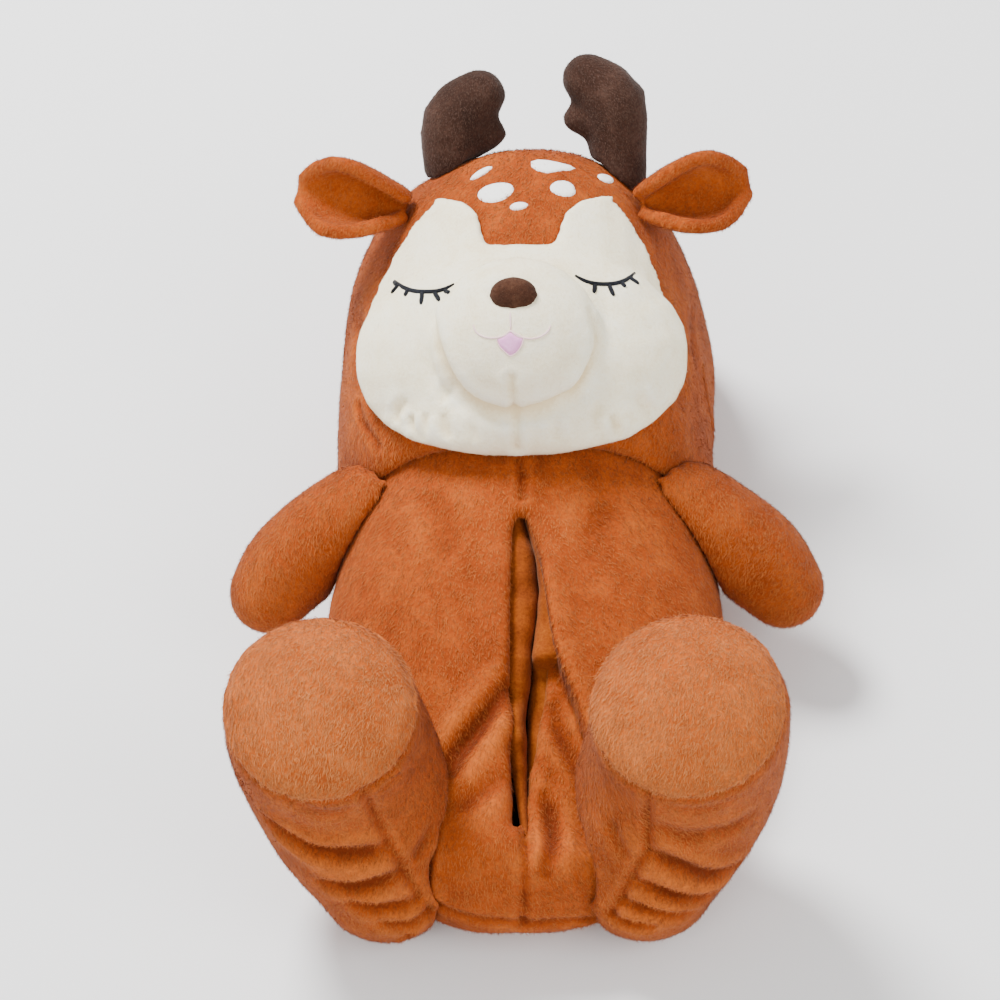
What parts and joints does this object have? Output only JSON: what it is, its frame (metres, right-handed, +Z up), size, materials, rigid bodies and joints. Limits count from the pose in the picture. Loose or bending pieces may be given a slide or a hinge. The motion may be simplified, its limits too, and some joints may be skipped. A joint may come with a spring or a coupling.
{
  "type": "animal slipper",
  "caption": "Plush deer slipper: the belly slit takes the foot, the stuffed head covers the toes and the legs stand up by the heel.",
  "frame": {"origin": "on the flat underside of the sole, on its middle line, 142 mm in front of the back of the heel", "axes": "+Y from heel to toe, +Z up, +X to the right when looking from the heel to the toe"},
  "size_m": [0.2112, 0.3045, 0.1447],
  "materials": {
    "brown_plush": "short velvety plush",
    "cream_plush": "short velvety plush",
    "dark_plush": "short velvety plush",
    "nose_plush": "short velvety plush",
    "lining": "brushed knit",
    "sole_fabric": "woven cloth with rubber grip dots"
  },
  "bodies": {
    "root": {"outsole": "sole_fabric", "insole": "lining", "upper": "brown_plush", "head": "brown_plush", "face": "cream_plush", "nose": "nose_plush", "leg_left": "brown_plush", "foot_pad_left": "brown_plush", "arm_left": "brown_plush", "antler_left": "dark_plush", "ear_left": "brown_plush", "leg_right": "brown_plush", "foot_pad_right": "brown_plush", "arm_right": "brown_plush", "antler_right": "dark_plush", "ear_right": "brown_plush"}
  },
  "joints": []
}
